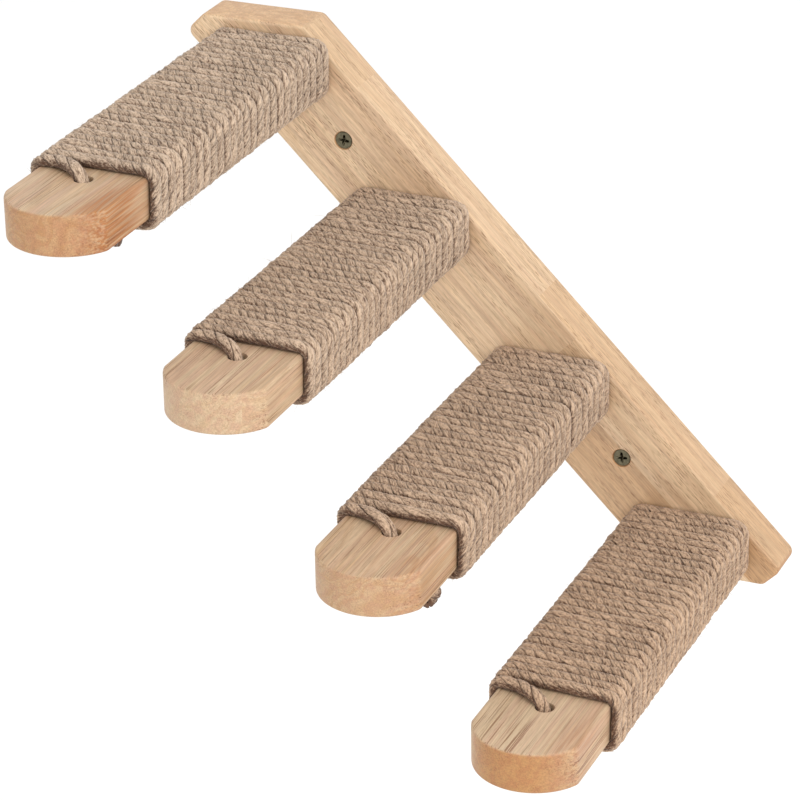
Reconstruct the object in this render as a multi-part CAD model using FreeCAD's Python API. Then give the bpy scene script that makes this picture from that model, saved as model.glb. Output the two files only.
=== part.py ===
"""Cat wall ladder: a slanted wooden backboard that carries four rope-wrapped steps.

Millimetres. The wall is the plane Y = 0, the board's back lies on it and the steps point
towards -Y. +X runs to the right along the wall and +Z is up. The origin is the middle of
the board's back. The ladder climbs from the lower right to the upper left.
"""
import FreeCAD, Part
import math
import os

Vector = FreeCAD.Vector

# Backboard: a rubberwood board set at a slant, with the corner of each square end sawn level
BOARD_THICKNESS = 22.0
BOARD_WIDTH = 48.0
BOARD_HEIGHT = 237.0
BOARD_SLOPE_DEGREES = 45.0
BOARD_END_MARGIN = 18.0
BOARD_SQUARE_END = 12.5
BOARD_CORNER_RADIUS = 4.0
BOARD_EDGE_RADIUS = 1.5

# Steps: four equal planks, butted on the board's front
STEP_COUNT = 4
STEP_WIDTH = 48.0
STEP_THICKNESS = 18.0
STEP_LENGTH = 220.0
STEP_EDGE_RADIUS = 3.0
TIP_CROWN = 16.5
TIP_CHAMFER = 1.0

# Rope: jute, wound round each step and led down a hole in the step's tip
ROPE_DIAMETER = 5.5
ROPE_CLEARANCE = 0.3
ROPE_SIDES = 6
WRAP_FULL_TURNS = 23
WRAP_SETBACK = 48.0
CORNER_BENDS = 2
ROPE_HOLE_DIAMETER = 8.0
ROPE_HOLE_SETBACK = 39.8
ROPE_END_BEND = 3.5
ROPE_END_SIDE = 17.0
ROPE_END_FORWARD = 7.0
ROPE_END_DROP = 9.0

# Countersunk wood screws: two in the wall, two from behind into each step
SCREW_LENGTH = 50.0
SCREW_THREAD_LENGTH = 28.0
SCREW_THREAD_DIAMETER = 4.0
SCREW_SHANK_DIAMETER = 2.8
SCREW_POINT_LENGTH = 5.0
SCREW_HEAD_DIAMETER = 8.0
SCREW_HEAD_SUNK = 0.5
RECESS_SPAN = 4.4
RECESS_ARM_WIDTH = 1.1
RECESS_DEPTH = 1.8
HIDDEN_SIDES = 10
SCREW_POINT_RADIUS = 0.3
SCREW_HOLE_DIAMETER = 4.5
SCREW_SEAT_CLEARANCE = 0.05
STEP_SCREW_SPACING = 28.0
STEP_PILOT_SPARE = 1.0

# One overrun serves every cutting tool
CUT_OVERRUN = 2.0

STEP_RISE = (BOARD_HEIGHT - BOARD_END_MARGIN * 2) / (STEP_COUNT - 1)
STEP_RUN = STEP_RISE / math.tan(math.radians(BOARD_SLOPE_DEGREES))
BOARD_FRONT = -BOARD_THICKNESS
# The rope's front and its hole are set back from the step's nose
WRAP_FRONT = STEP_LENGTH - WRAP_SETBACK
ROPE_HOLE_REACH = STEP_LENGTH - ROPE_HOLE_SETBACK
ALONG_WALL = Vector(1, 0, 0)
INTO_WALL = Vector(0, 1, 0)
UP = Vector(0, 0, 1)


def step_middle(number):
    """Middle of a step's root on the board's front, number 0 being the top left one."""
    places = number - (STEP_COUNT - 1) / 2
    return Vector(places * STEP_RUN, BOARD_FRONT, -places * STEP_RISE)


def extruded_outline(edges, direction):
    """Solid prism from the edges of a flat closed outline."""
    return Part.Face(Part.Wire(edges)).extrude(direction)


def polygon_edges(points):
    """Straight edges round a closed polygon."""
    return [Part.LineSegment(a, b).toShape() for a, b in zip(points, points[1:] + points[:1])]


def screw_profile():
    """Radii of a countersunk wood screw along +Y, with the face of its head at 0."""
    head = SCREW_HEAD_DIAMETER / 2
    shank = SCREW_SHANK_DIAMETER / 2
    thread = SCREW_THREAD_DIAMETER / 2
    thread_start = SCREW_LENGTH - SCREW_THREAD_LENGTH
    return [
        (head, 0),
        (shank, head - shank),
        (shank, thread_start),
        (thread, thread_start),
        (thread, SCREW_LENGTH - SCREW_POINT_LENGTH),
        (SCREW_POINT_RADIUS, SCREW_LENGTH),
    ]


def turned(profile):
    """Solid turned round the Y axis from radii along it."""
    points = [Vector(radius, depth, 0) for radius, depth in profile]
    ends = [Vector(0, points[-1].y, 0), Vector(0, points[0].y, 0)]
    return Part.Face(Part.Wire(polygon_edges(points + ends))).revolve(Vector(0, 0, 0), INTO_WALL, 360)


def skinned(rings):
    """Solid of flat faces through a row of rings with equally many corners."""
    faces = [Part.Face(Part.Wire(polygon_edges(ring))) for ring in (rings[0], rings[-1])]
    for near, far in zip(rings, rings[1:]):
        for side, after in zip(range(-1, len(near)), range(len(near))):
            corners = [near[side], near[after], far[after], far[side]]
            faces.append(Part.Face(Part.Wire(polygon_edges(corners))))
    shell = Part.makeCompound(faces)
    shell.sewShape()
    solid = Part.Solid(shell.Shells[0])
    if solid.Volume < 0:
        solid.reverse()
    return solid


def flat_sided(profile):
    """The same with flat sides, for screws and holes that the wood and the wall hide."""
    rings = []
    for radius, depth in profile:
        ring = []
        for side in range(HIDDEN_SIDES):
            angle = 2 * math.pi * side / HIDDEN_SIDES
            ring.append(Vector(radius * math.cos(angle), depth, radius * math.sin(angle)))
        rings.append(ring)
    return skinned(rings)


def cross_recess():
    """Tool for the cross recess in a screw's head."""
    points = []
    half_arm = RECESS_ARM_WIDTH / 2
    for quarter in range(4):
        turn = FreeCAD.Rotation(INTO_WALL, 90 * quarter)
        for x, z in ((RECESS_SPAN / 2, -half_arm), (RECESS_SPAN / 2, half_arm), (half_arm, half_arm)):
            points.append(turn.multVec(Vector(x, -CUT_OVERRUN, -z)))
    return extruded_outline(polygon_edges(points), INTO_WALL * (RECESS_DEPTH + CUT_OVERRUN))


def seat_profile():
    """Radii of a screw's countersink and clearance hole, placed as the screw is."""
    hole = SCREW_HOLE_DIAMETER / 2
    head = SCREW_HEAD_DIAMETER / 2 + SCREW_SEAT_CLEARANCE
    overrun = SCREW_HEAD_SUNK + CUT_OVERRUN
    return [
        (head + overrun, -overrun),
        (hole, head - hole),
        (hole, BOARD_THICKNESS + CUT_OVERRUN),
    ]


def bore_profile():
    """Radii of the bore that a step screw's thread fills in the end of a plank."""
    radius = SCREW_THREAD_DIAMETER / 2 + SCREW_SEAT_CLEARANCE
    return [(radius, 0), (radius, SCREW_LENGTH + STEP_PILOT_SPARE)]


def wall_screw_places():
    """Wall screws sit midway between the upper two steps and between the lower two."""
    places = []
    for number in (0, STEP_COUNT - 2):
        middle = (step_middle(number) + step_middle(number + 1)) / 2
        middle.y = BOARD_FRONT + SCREW_HEAD_SUNK
        places.append(FreeCAD.Placement(middle, FreeCAD.Rotation()))
    return places


def step_screw_places(number):
    """Two screws side by side, driven from the board's back into the end of a step."""
    outward = FreeCAD.Rotation(UP, 180)
    places = []
    for side in (-1, 1):
        middle = step_middle(number) + ALONG_WALL * (side * STEP_SCREW_SPACING / 2)
        middle.y = -SCREW_HEAD_SUNK
        places.append(FreeCAD.Placement(middle, outward))
    return places


def moved(shape, placement):
    """Copy of a shape, carried to a place."""
    copy = shape.copy()
    copy.Placement = placement
    return copy


def backboard():
    """Slanted board with level top and bottom ends, eased front edges and its screw holes."""
    slope = math.radians(BOARD_SLOPE_DEGREES)
    half_level = BOARD_WIDTH / 2 / math.sin(slope)
    half_height = BOARD_HEIGHT / 2
    shift = half_height / math.tan(slope)
    level_cut = BOARD_SQUARE_END / math.sin(slope)
    edge_cut = BOARD_SQUARE_END / math.tan(slope)
    half_outline = [
        Vector(-shift - half_level + level_cut, 0, half_height),
        Vector(-shift + half_level, 0, half_height),
        Vector(
            shift + half_level - edge_cut * math.cos(slope),
            0,
            -half_height + edge_cut * math.sin(slope),
        ),
    ]
    outline = half_outline + [-point for point in half_outline]
    board = extruded_outline(polygon_edges(outline), -INTO_WALL * BOARD_THICKNESS)
    corners = [edge for edge in board.Edges if abs(edge.tangentAt(0).y) > 0.5]
    board = board.makeFillet(BOARD_CORNER_RADIUS, corners)
    rims = [edge for edge in board.Edges if edge.BoundBox.YMax < BOARD_FRONT + BOARD_EDGE_RADIUS]
    board = board.makeFillet(BOARD_EDGE_RADIUS, rims)
    seat = turned(seat_profile())
    seats = [moved(seat, place) for place in wall_screw_places()]
    hidden_seat = flat_sided(seat_profile())
    for number in range(STEP_COUNT):
        seats += [moved(hidden_seat, place) for place in step_screw_places(number)]
    return board.cut(seats)


def rounded_section(half_width, half_height, radius, y):
    """Rectangle with round corners, square to Y and centred on the Y axis."""
    edges = []
    corners = ((1, 1), (-1, 1), (-1, -1), (1, -1))
    ends = []
    for side, level in corners:
        centre = Vector(side * (half_width - radius), y, level * (half_height - radius))
        flank = centre + Vector(side * radius, 0, 0)
        crest = centre + Vector(0, 0, level * radius)
        diagonal = centre + Vector(side, 0, level) * (radius / math.sqrt(2))
        first, last = (flank, crest) if side * level > 0 else (crest, flank)
        edges.append(Part.Arc(first, diagonal, last).toShape())
        ends.append((first, last))
    for (_, start), (end, _) in zip(ends, ends[1:] + ends[:1]):
        edges.append(Part.LineSegment(start, end).toShape())
    return Part.Wire(Part.__sortEdges__(edges))


def step_plank(number):
    """Plank with round long edges, a bowed tip, a hole for the rope and two screw bores."""
    half_width = STEP_WIDTH / 2
    section = rounded_section(half_width, STEP_THICKNESS / 2, STEP_EDGE_RADIUS, 0)
    bar = Part.Face(section).extrude(-INTO_WALL * STEP_LENGTH)
    shoulder = STEP_LENGTH - TIP_CROWN
    bottom = -STEP_THICKNESS / 2 - CUT_OVERRUN
    right = Vector(half_width, -shoulder, bottom)
    left = Vector(-half_width, -shoulder, bottom)
    root_right = Vector(half_width, 0, bottom)
    root_left = Vector(-half_width, 0, bottom)
    nose = Vector(0, -STEP_LENGTH, bottom)
    plan = [
        Part.LineSegment(root_left, root_right).toShape(),
        Part.LineSegment(root_right, right).toShape(),
        Part.Arc(right, nose, left).toShape(),
        Part.LineSegment(left, root_left).toShape(),
    ]
    plank = bar.common(extruded_outline(plan, UP * (STEP_THICKNESS + CUT_OVERRUN * 2)))
    tip_edges = [edge for edge in plank.Edges if edge.BoundBox.YMax < -shoulder + STEP_EDGE_RADIUS]
    plank = plank.makeChamfer(TIP_CHAMFER, tip_edges)
    plank = plank.cut(rope_hole())
    plank.translate(step_middle(number))
    bore = flat_sided(bore_profile())
    return plank.cut([moved(bore, place) for place in step_screw_places(number)])


def rope_hole():
    """Tool for the upright hole in a step's tip."""
    low = Vector(0, -ROPE_HOLE_REACH, -STEP_THICKNESS / 2 - CUT_OVERRUN)
    return Part.makeCylinder(ROPE_HOLE_DIAMETER / 2, STEP_THICKNESS + CUT_OVERRUN * 2, low, UP)


def rope_route():
    """Corners of the rope's line round one step, from its start under the root to its cut end.

    The rope climbs the left side, crosses the top and goes down the right side, a pitch
    nearer the tip with each turn. Each bend of a corner lies on the arc's tangents, so the
    straight pieces between them never come nearer the wood than the arc does.
    """
    rope = ROPE_DIAMETER / 2
    off = ROPE_CLEARANCE + rope
    half_width = STEP_WIDTH / 2 + off
    half_height = STEP_THICKNESS / 2 + off
    radius = STEP_EDGE_RADIUS + off
    bend = math.radians(90 / CORNER_BENDS)
    reach = radius / math.cos(bend / 2)
    turn = []
    for side, level, start in ((-1, -1, 270), (-1, 1, 180), (1, 1, 90), (1, -1, 0)):
        for index in range(CORNER_BENDS):
            angle = math.radians(start) - bend * (index + 0.5)
            x = side * (half_width - radius) + reach * math.cos(angle)
            z = level * (half_height - radius) + reach * math.sin(angle)
            turn.append((x, z))
    first = (half_width - radius, -half_height)
    rounds = turn * WRAP_FULL_TURNS + turn[: CORNER_BENDS * 2]
    flat = [first] + rounds
    travelled = [0]
    for a, b in zip(flat, flat[1:]):
        travelled.append(travelled[-1] + math.dist(a, b))
    near = off
    far = WRAP_FRONT - rope
    route = []
    for (x, z), way in zip(flat, travelled):
        route.append(Vector(x, -near - (far - near) * way / travelled[-1], z))
    return route + rope_tail(route[-1], half_height)


def rope_tail(last, level):
    """Rest of the rope's line: across the tip to the hole, down it and aside under the step."""
    radius = ROPE_HOLE_DIAMETER / 2
    hole = Vector(0, -ROPE_HOLE_REACH, level)
    across = hole - Vector(last.x, last.y, level)
    across.normalize()
    bend = math.radians(90 / CORNER_BENDS)
    reach = radius / math.cos(bend / 2)
    centre = hole - across * radius - UP * radius
    tail = []
    for index in range(CORNER_BENDS):
        angle = math.pi / 2 - bend * (index + 0.5)
        tail.append(centre + across * (reach * math.cos(angle)) + UP * (reach * math.sin(angle)))
    underside = -STEP_THICKNESS / 2
    end_level = underside - ROPE_END_DROP + ROPE_DIAMETER / 2
    tail.append(Vector(hole.x, hole.y, underside - ROPE_END_BEND))
    tail.append(Vector(hole.x + ROPE_END_SIDE, hole.y - ROPE_END_FORWARD, end_level))
    return tail


def mirrored(vector, normal):
    """Vector reflected in a plane with the given unit normal."""
    return vector - normal * (2 * vector.dot(normal))


def rope_rings(route):
    """Mitred rings of a tube of flat sides along a route, one ring at each of its points."""
    way = route[1] - route[0]
    way.normalize()
    spoke = UP.cross(way)
    spoke.normalize()
    spoke = spoke * (ROPE_DIAMETER / 2)
    rings = []
    for index, point in enumerate(route):
        spokes = []
        for side in range(ROPE_SIDES):
            turn = FreeCAD.Rotation(way, 360 * side / ROPE_SIDES)
            spokes.append(turn.multVec(spoke))
        if index in (0, len(route) - 1):
            rings.append([point + arm for arm in spokes])
            continue
        after = route[index + 1] - point
        after.normalize()
        mitre = way + after
        mitre.normalize()
        rings.append([point + arm - way * (arm.dot(mitre) / way.dot(mitre)) for arm in spokes])
        spoke = mirrored(spoke, mitre)
        way = after
    return rings


def rope_wrap(number, route):
    """One unbroken rope of flat sides along its route."""
    rope = skinned(rope_rings(route))
    rope.translate(step_middle(number))
    return rope


def nearest(a, b, c, d):
    """Least distance between the straight pieces a-b and c-d."""
    return Part.LineSegment(a, b).toShape().distToShape(Part.LineSegment(c, d).toShape())[0]


def least_self_gap(route):
    """Least gap between two turns of the rope that aren't the same bend."""
    per_turn = CORNER_BENDS * 4
    least = None
    for index in range(len(route) - 1):
        for other in range(index + per_turn // 2, min(index + per_turn * 2, len(route) - 1)):
            gap = nearest(route[index], route[index + 1], route[other], route[other + 1])
            least = gap if least is None else min(least, gap)
    return least - ROPE_DIAMETER


def main():
    os.makedirs("parts", exist_ok=True)
    nodes = {"backboard": backboard()}
    route = rope_route()
    print("rope: least gap to itself %.2f mm" % least_self_gap(route))
    print("rope: length %.0f mm" % sum((b - a).Length for a, b in zip(route, route[1:])))
    recess = cross_recess()
    wall_screw = turned(screw_profile()).cut(recess)
    step_screw = flat_sided(screw_profile()).cut(recess)
    for number in range(STEP_COUNT):
        nodes["step_%d" % (number + 1)] = step_plank(number)
        nodes["rope_wrap_%d" % (number + 1)] = rope_wrap(number, route)
        for name, place in zip(("left", "right"), step_screw_places(number)):
            nodes["step_%d_screw_%s" % (number + 1, name)] = moved(step_screw, place)
    for name, place in zip(("upper", "lower"), wall_screw_places()):
        nodes["wall_screw_%s" % name] = moved(wall_screw, place)
    for name, shape in nodes.items():
        shape.exportStep("parts/%s.step" % name)
        print("%s: volume %.0f mm3, valid %s" % (name, shape.Volume, shape.isValid()))


main()
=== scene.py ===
"""Cat wall ladder: a slanted rubberwood board that carries four planks wound in jute rope."""
import math

import bmesh
import bpy
import numpy as np
from bpy.props import FloatProperty, FloatVectorProperty, IntProperty, PointerProperty
from mathutils import Matrix, Vector
from mathutils.geometry import tessellate_polygon


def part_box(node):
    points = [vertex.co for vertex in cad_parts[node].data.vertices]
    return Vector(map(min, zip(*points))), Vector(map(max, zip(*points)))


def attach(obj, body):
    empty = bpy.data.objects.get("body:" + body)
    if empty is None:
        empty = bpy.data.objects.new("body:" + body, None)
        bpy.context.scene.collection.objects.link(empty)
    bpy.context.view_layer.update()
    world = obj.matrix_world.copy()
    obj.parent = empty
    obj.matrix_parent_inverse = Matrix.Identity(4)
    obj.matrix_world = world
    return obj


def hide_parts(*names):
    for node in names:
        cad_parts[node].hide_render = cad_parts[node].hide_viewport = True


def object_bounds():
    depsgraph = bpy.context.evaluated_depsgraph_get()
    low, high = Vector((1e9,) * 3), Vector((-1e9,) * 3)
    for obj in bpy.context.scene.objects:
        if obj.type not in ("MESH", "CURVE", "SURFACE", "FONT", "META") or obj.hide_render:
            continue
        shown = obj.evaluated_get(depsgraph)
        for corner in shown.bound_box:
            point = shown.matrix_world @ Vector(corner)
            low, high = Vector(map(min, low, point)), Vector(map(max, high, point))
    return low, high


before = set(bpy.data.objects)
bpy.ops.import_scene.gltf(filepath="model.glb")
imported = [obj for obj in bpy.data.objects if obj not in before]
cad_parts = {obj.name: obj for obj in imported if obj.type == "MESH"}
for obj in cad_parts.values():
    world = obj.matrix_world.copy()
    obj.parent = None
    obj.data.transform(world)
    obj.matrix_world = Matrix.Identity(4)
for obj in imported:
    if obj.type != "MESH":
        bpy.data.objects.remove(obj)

bl_info = {
    "name": "Cat wall ladder",
    "version": (1, 0, 0),
    "blender": (4, 5, 0),
    "location": "View3D > Sidebar > Ladder",
    "description": "Builds a wooden cat ladder with four rope-wound steps",
    "category": "Object",
}

CAD_BOX = [list(corner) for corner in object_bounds()]
MM = 0.001
STEP_COUNT = sum(name.startswith("step_") and name[5:].isdigit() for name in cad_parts)
BODY = "root"


def linear(hex_colour):
    """Scene-linear colour, with alpha 1, from an sRGB hex value."""
    value = [int(hex_colour[i : i + 2], 16) / 255 for i in (1, 3, 5)]
    return [v / 12.92 if v <= 0.04045 else ((v + 0.055) / 1.055) ** 2.4 for v in value] + [1.0]


def node_size(node):
    """Middle and size of a CAD node's box, in metres."""
    low, high = (np.array(corner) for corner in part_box(node))
    return (low + high) / 2, high - low


BOARD_MIDDLE, BOARD_SIZE = node_size("backboard")
PLANK_SIZE = node_size("step_1")[1]
BOARD_FRONT = BOARD_MIDDLE[1] - BOARD_SIZE[1] / 2
BOARD_BACK = BOARD_MIDDLE[1] + BOARD_SIZE[1] / 2
SCREW_NODES = sorted(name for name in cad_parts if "screw" in name)


def length(name, default, description):
    """A property that holds a length, given in mm and kept in metres."""
    shown = {"name": name, "description": description, "unit": "LENGTH", "precision": 5}
    return FloatProperty(**shown, default=default * MM)


def colour(name, hex_colour, description):
    """A property that holds a colour."""
    shown = {"name": name, "description": description, "subtype": "COLOR"}
    return FloatVectorProperty(**shown, size=4, min=0, max=1, default=linear(hex_colour))


class LadderSizes(bpy.types.PropertyGroup):
    """Sizes that the solids leave to the dressed model."""

    board_width: length("Board width", 48, "Width of the board across its slant")
    board_square_end: length("Board square end", 12.5, "What is left of each sawn square end")
    board_corner: length("Board corner", 4, "Radius of the board's corners, seen from the front")
    board_arris: length("Board arris", 1.6, "Radius of the board's sanded arrises")
    plank_arris: length("Plank arris", 1.3, "Radius of a plank's sanded edges")
    rope_corner: length("Rope corner", 2.2, "Inner radius of the rope round a plank's edges")
    tip_lean: length("Tip lean", 0.8, "How far a tip's bow is centred to the right")
    tip_crown: length("Tip crown", 16.5, "How far a plank's tip bows out past its corners")
    rope_hole: length("Rope hole", 8, "Diameter of the hole for the rope's end")
    rope_hole_reach: length("Rope hole reach", 180.2, "From the board's front to the middle of the hole")
    rope_height: length("Rope height", 5.0, "Thickness of the wound rope over the flat faces")
    rope_side_height: length("Rope side height", 4.4, "Thickness of the wound rope on a plank's sides")
    rope_diameter: length("Rope diameter", 5.9, "Diameter of the rope where nothing squeezes it")
    rope_lay: length("Rope lay", 16, "Length in which a strand goes once round the wound rope")
    rope_end_drop: length("Rope end drop", 9, "How far the rope's cut end reaches below the plank")
    screw_length: length("Screw length", 50, "Length of a wood screw with its head")
    screw_head: length("Screw head", 8, "Diameter of a wood screw's head")
    screw_thread: length("Screw thread", 4, "Outer diameter of a wood screw's thread")
    screw_pitch: length("Screw pitch", 1.8, "Distance from one thread to the next")
    hair_count: IntProperty(name="Loose fibres", description="Loose fibres on each rope", default=3400, min=0)


class LadderColours(bpy.types.PropertyGroup):
    """Colours of the ladder's materials."""

    wood_pale: colour("Pale wood", "#CAB191", "Earlywood of a pale stave")
    wood_tan: colour("Tan wood", "#B48A5F", "Latewood and darker staves")
    wood_pink: colour("Pink wood", "#C09C82", "Heartwood cast of rubberwood")
    wood_pore: colour("Wood pores", "#7C5433", "Open pores along the grain")
    wood_toast: colour("Toasted wood", "#DDB084", "Corner toasted by the sanding belt")
    board_pale: colour("Pale board", "#DFC29E", "Earlywood of the board's staves")
    end_grain: colour("End grain", "#E4C095", "End grain, which drinks the finish")
    # Painted shade on the rope: jute_dark is mixed in where grooves and gaps between turns lie in shade, and
    # jute_light where strands lie open to the light. The fibres' own speckle and the loose fibres' tone mix
    # them too
    jute_light: colour("Light jute", "#D4BAA0", "Outermost fibres of a strand")
    jute_dark: colour("Dark jute", "#5E4230", "Fibres in the grooves between strands")
    # Painted shade, not age: the lower ropes are multiplied towards this colour, darker and browner
    # downwards, standing in for less light on the lower steps
    jute_lower_shade: colour("Aged jute", "#F7EDE4", "Cast of the oldest rope")
    steel: colour("Screw steel", "#736C58", "Yellow passivated zinc on the screws")
    floor: colour("Floor", "#FCFCFB", "Plain pale floor")


def add_object(name, data):
    """New object, linked to the scene."""
    added = bpy.data.objects.new(name, data)
    bpy.context.scene.collection.objects.link(added)
    return added


# Meshes


def unit(vectors):
    """Vectors scaled to length 1."""
    return vectors / np.linalg.norm(vectors, axis=-1, keepdims=True)


def strides(points):
    """Distances from each point to the next."""
    return np.linalg.norm(np.diff(points, axis=0), axis=1)


def running_sum(values):
    """Sum of all values before each point, from 0 on."""
    return np.concatenate([[0], np.cumsum(values)])


def steady_noise(count, reach, seed):
    """Smooth random wave of about unit height: white noise averaged over reach samples, twice."""
    rough = np.random.RandomState(seed).normal(size=count + reach * 4)
    window = np.hanning(reach + 2)[1:-1]
    smooth = np.convolve(rough, window / np.sqrt((window**2).sum()), "same")
    return smooth[reach * 2 : reach * 2 + count]


def directions(angle):
    """Unit vectors in a plane, at angles in radians."""
    return np.stack([np.cos(angle), np.sin(angle)], -1)


def circle(count):
    """Points of a unit circle about the origin, as count x 2."""
    return directions(np.arange(count) * 2 * np.pi / count)


def arc(centre, radius, start, end, count):
    """Points of a circular arc, angles in degrees, ends included."""
    return np.array(centre) + radius * directions(np.radians(np.linspace(start, end, count)))


def lathe(profile, plan):
    """Rings about Y: the plan, in x and z, scaled by each radius of the profile, at each depth."""
    rings = []
    for radius, depth in profile:
        rings.append(np.stack([plan[:, 0] * radius, np.full(len(plan), depth), plan[:, 1] * radius], -1))
    return np.array(rings)


def soft_mouth(radius, soft):
    """Start of a hole's profile: its mouth, sanded round over a depth."""
    return [(radius + soft, 0), (radius + soft * 0.3, soft * 0.3), (radius, soft)]


def rounded_rim(outline, closed, grain, radius, flats, count):
    """Rim of a plate: its outline, inset along a quarter circle at each of its flat faces.

    The outline runs clockwise seen from its positive side. The rows go from the lower flat to the
    upper one and hold x, y and level. With them come the shares of end grain, which say how much
    of each outward normal lies along the grain.
    """
    way = np.roll(outline, -1, 0) - np.roll(outline, 1, 0) if closed else np.gradient(outline, axis=0)
    normal = unit(np.stack([-way[:, 1], way[:, 0]], -1))
    angle = np.radians(np.linspace(0, 90, count))
    tilt = np.concatenate([angle[::-1], angle])
    drop = radius * (1 - np.sin(tilt))
    level = np.concatenate([flats[0] + drop[:count], flats[1] - drop[count:]])
    plan = outline - normal * (radius * (1 - np.cos(tilt)))[:, None, None]
    rows = np.concatenate([plan, np.repeat(level[:, None, None], len(outline), 1)], -1)
    return rows, np.outer(np.cos(tilt), np.abs(normal @ grain)).ravel()


def grid_quads(rows, columns, closed):
    """Corners of the quads of a grid of vertices, stored row by row, closed or not along a row."""
    row = np.arange(rows - 1)[:, None] * columns
    left = np.arange(columns if closed else columns - 1)[None, :]
    right = (left + 1) % columns
    return np.stack([row + left, row + right, row + columns + right, row + columns + left], -1).reshape(-1, 4)


class Shape:
    """Vertices and faces of one piece, gathered part by part."""

    def __init__(self):
        self.points = []
        self.faces = []
        self.coordinates = []

    def add_grid(self, points, closed=True, flip=False, uv=None):
        """Adds a surface given as rows x columns x 3 and returns its vertex numbers.

        uv gives each column's and each row's coordinate.
        """
        first = sum(len(part) for part in self.points)
        rows, columns = points.shape[:2]
        self.points.append(points.reshape(-1, 3))
        quads = grid_quads(rows, columns, closed) + first
        self.faces += (quads[:, ::-1] if flip else quads).tolist()
        if uv:
            across, along = uv
            row, column = np.indices((len(along) - 1, len(across) - 1)).reshape(2, -1)
            u = along[np.stack([row, row, row + 1, row + 1], -1)]
            v = across[np.stack([column, column + 1, column + 1, column], -1)]
            self.coordinates.append(np.stack([u, v], -1).reshape(-1, 2))
        return first + np.arange(rows * columns).reshape(rows, columns)

    def add_face(self, ring):
        """Adds one face, with no coordinates of its own."""
        self.faces.append(ring.tolist())
        self.coordinates.append(np.zeros((len(ring), 2)))

    def add_flat(self, *loops):
        """Fills a flat region between an outer loop of vertex numbers and the loops of its holes."""
        points = np.concatenate(self.points)
        order = np.concatenate(loops).tolist()
        shown = [[Vector(point) for point in points[ring]] for ring in loops]
        for corners in tessellate_polygon(shown):
            self.faces.append([order[corner] for corner in corners])

    def piece(self, name, material, slot, replaces=(), attributes=None, crease=35, uv_name=None):
        """Makes the object, shades it smooth up to the crease angle and hands it to the frame."""
        mesh = bpy.data.meshes.new(name)
        mesh.from_pydata(np.concatenate(self.points), [], self.faces)
        mesh.validate()
        for key, values in (attributes or {}).items():
            mesh.attributes.new(key, "FLOAT", "POINT").data.foreach_set("value", values)
        if uv_name:
            layer = mesh.uv_layers.new(name=uv_name)
            layer.data.foreach_set("uv", np.concatenate(self.coordinates).ravel())
        mesh.shade_smooth()
        mesh.set_sharp_from_angle(angle=math.radians(crease))
        mesh.materials.append(material)
        piece = add_object(name, mesh)
        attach(piece, BODY)
        if replaces:
            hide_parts(*replaces)
        return piece


def turn_outward(piece):
    """Turns all faces of a closed piece outwards."""
    work = bmesh.new()
    work.from_mesh(piece.data)
    bmesh.ops.recalc_face_normals(work, faces=work.faces)
    work.to_mesh(piece.data)
    work.free()


# Materials


def add_node(tree, kind, inputs=None, output=0, **settings):
    """Adds a node, gives its inputs values or links, and returns one of its outputs."""
    node = tree.nodes.new("ShaderNode" + kind)
    for key, value in settings.items():
        setattr(node, key, value)
    for key, value in (inputs or {}).items():
        if isinstance(value, bpy.types.NodeSocket):
            tree.links.new(value, node.inputs[key])
        else:
            node.inputs[key].default_value = value
    return node.outputs[output]


def maths(tree, operation, *values):
    """Result of a sum on numbers."""
    return add_node(tree, "Math", dict(enumerate(values)), operation=operation)


def vectors(tree, operation, *values, output=0):
    """Result of a sum on vectors."""
    return add_node(tree, "VectorMath", dict(enumerate(values)), output, operation=operation)


def remap(tree, value, low, high, to_low=0.0, to_high=1.0, how="SMOOTHSTEP"):
    """Value moved from one range to another, along a smooth step or evenly, and held at its ends."""
    ranges = {"Value": value, 1: low, 2: high, 3: to_low, 4: to_high}
    return add_node(tree, "MapRange", ranges, interpolation_type=how)


def blend(tree, share, first, second, how="MIX"):
    """Colour between two colours."""
    return add_node(tree, "Mix", {0: share, 6: first, 7: second}, 2, data_type="RGBA", blend_type=how)


def noise(tree, place, stretch, detail=2.0, roughness=0.5):
    """Noise of a place in mm. stretch holds the grains per mm along each axis."""
    scaled = vectors(tree, "MULTIPLY", place, stretch)
    grains = {"Vector": scaled, "Scale": 1.0, "Detail": detail, "Roughness": roughness}
    return add_node(tree, "TexNoise", grains)


def cells(tree, place, stretch):
    """Distance to the nearest of scattered points. stretch holds the cells per mm along each axis."""
    scaled = vectors(tree, "MULTIPLY", place, stretch)
    return add_node(tree, "TexVoronoi", {"Vector": scaled, "Scale": 1.0}, "Distance")


def attribute(tree, name):
    """Value of a mesh attribute."""
    return add_node(tree, "Attribute", output="Fac", attribute_name=name)


def new_material(name):
    """Empty node material, its tree and the ladder's colours."""
    material = bpy.data.materials.new(name)
    material.use_nodes = True
    material.node_tree.nodes.clear()
    return material, material.node_tree, bpy.context.scene.ladder_colours


def shaded(material, inputs):
    """The material with its output and a shader that has these inputs."""
    tree = material.node_tree
    output = tree.nodes.new("ShaderNodeOutputMaterial")
    tree.links.new(add_node(tree, "BsdfPrincipled", inputs), output.inputs["Surface"])
    return material


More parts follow.
